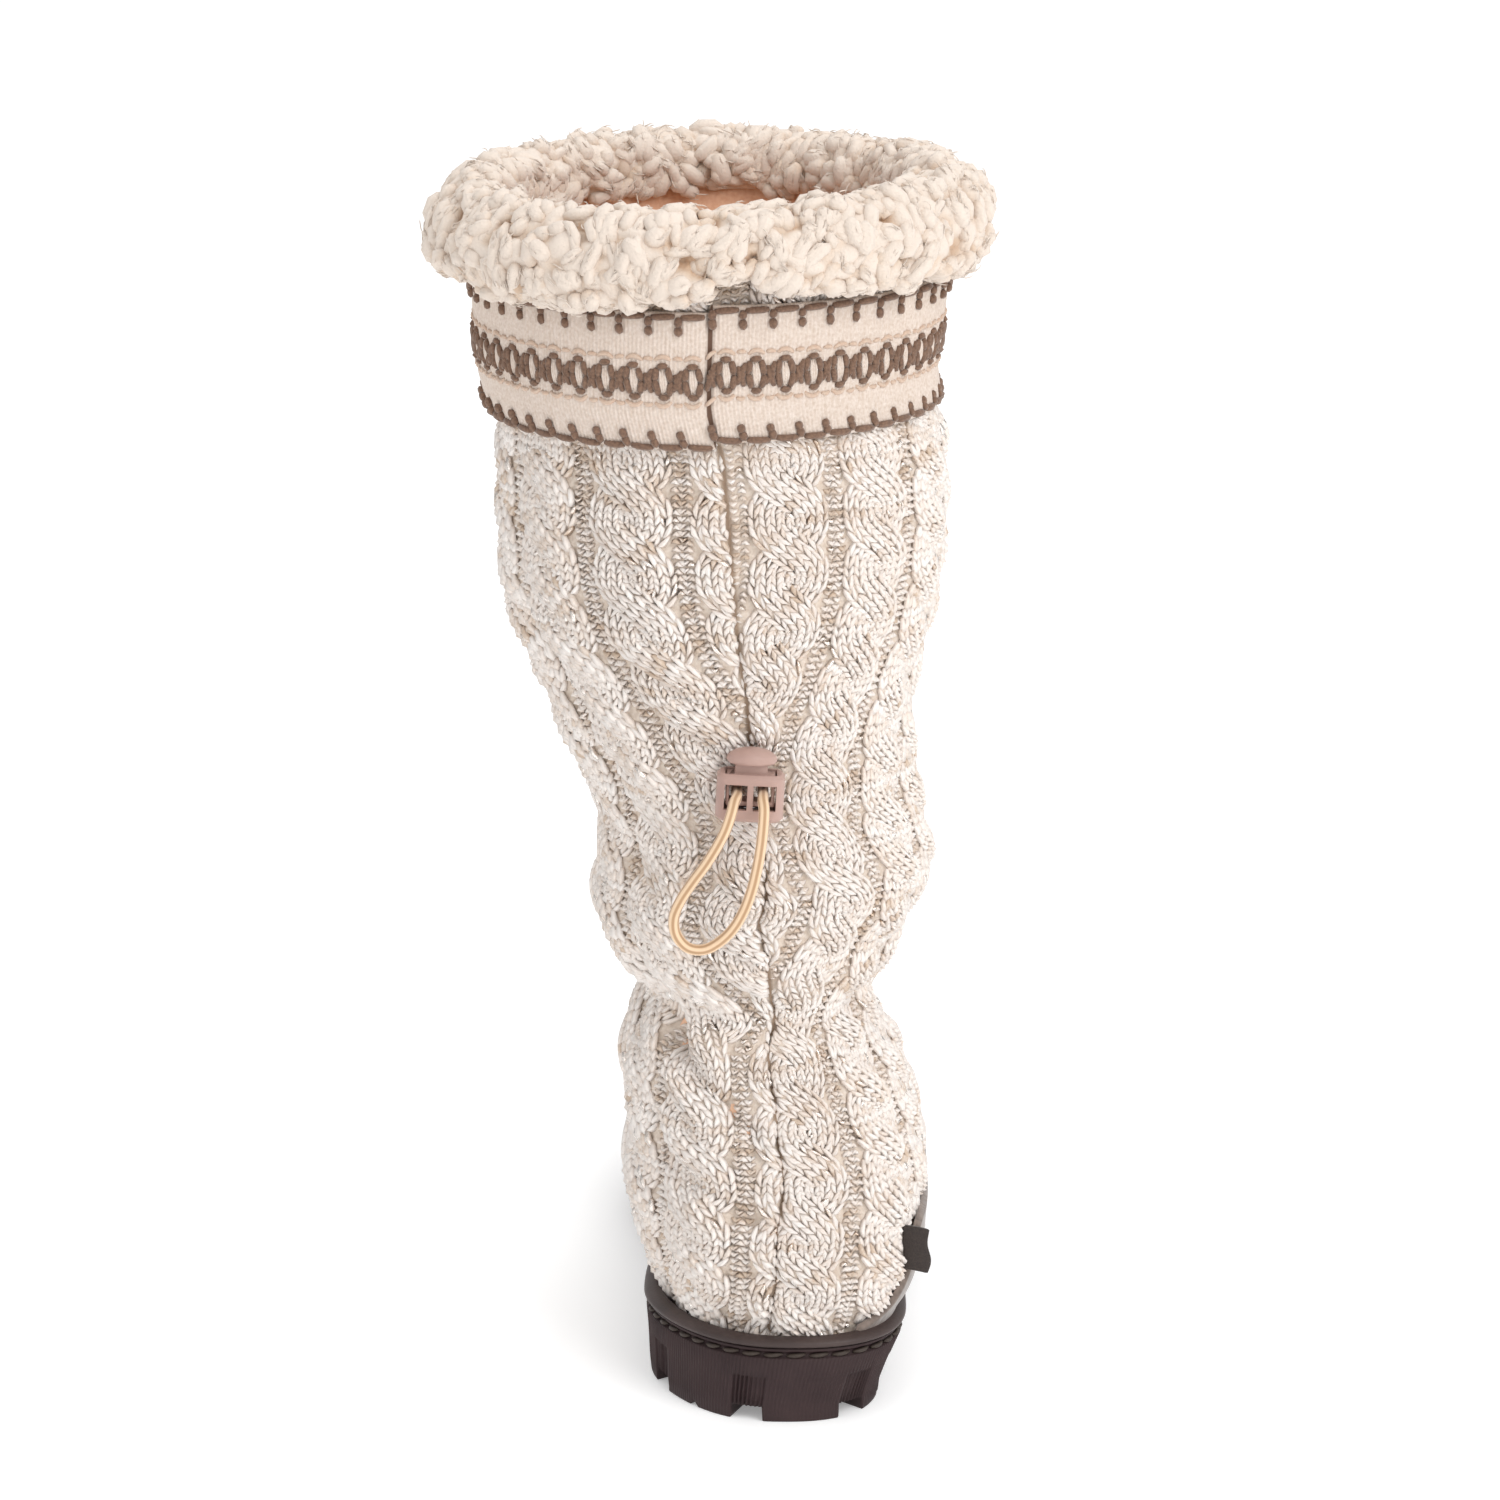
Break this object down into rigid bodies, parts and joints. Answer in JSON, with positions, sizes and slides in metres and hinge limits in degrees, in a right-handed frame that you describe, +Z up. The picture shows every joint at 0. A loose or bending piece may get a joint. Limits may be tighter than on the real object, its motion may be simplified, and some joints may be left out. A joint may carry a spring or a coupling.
{
  "type": "knit shaft boot",
  "caption": "Right winter boot with a slouchy cable-knit shaft, curly fleece cuff, woven band, cord lock with elastic loop, suede foot and lugged rubber sole.",
  "frame": {"origin": "middle of the footprint of the whole boot, on the ground under the lugs", "axes": "+Z up, +Y from heel to toe, +X towards the outer side of the right foot"},
  "size_m": [0.1446, 0.2848, 0.3305],
  "materials": {
    "knit": "heathered cable knit",
    "fleece": "curly fleece",
    "woven": "woven band",
    "lining": "brushed lining",
    "suede": "suede",
    "rand": "satin",
    "sole": "matte moulded",
    "lock": "satin moulded",
    "elastic": "braided elastic",
    "label": "woven tab"
  },
  "bodies": {
    "boot": {"outsole": "sole", "rand": "rand", "insole": "lining", "upper": "knit", "vamp": "suede", "band": "woven", "cuff": "fleece", "lock_barrel": "lock", "drawcord": "elastic", "flag_label": "label"},
    "lock_button": {"lock_button": "lock"}
  },
  "joints": [
    {"name": "lock_press", "type": "slide", "parent": "boot", "child": "lock_button", "axis": [-0.0523, 0, -0.9986], "range_m": [0, 0.002], "stiffness_N_per_m": 800, "springref_m": -0.003}
  ]
}
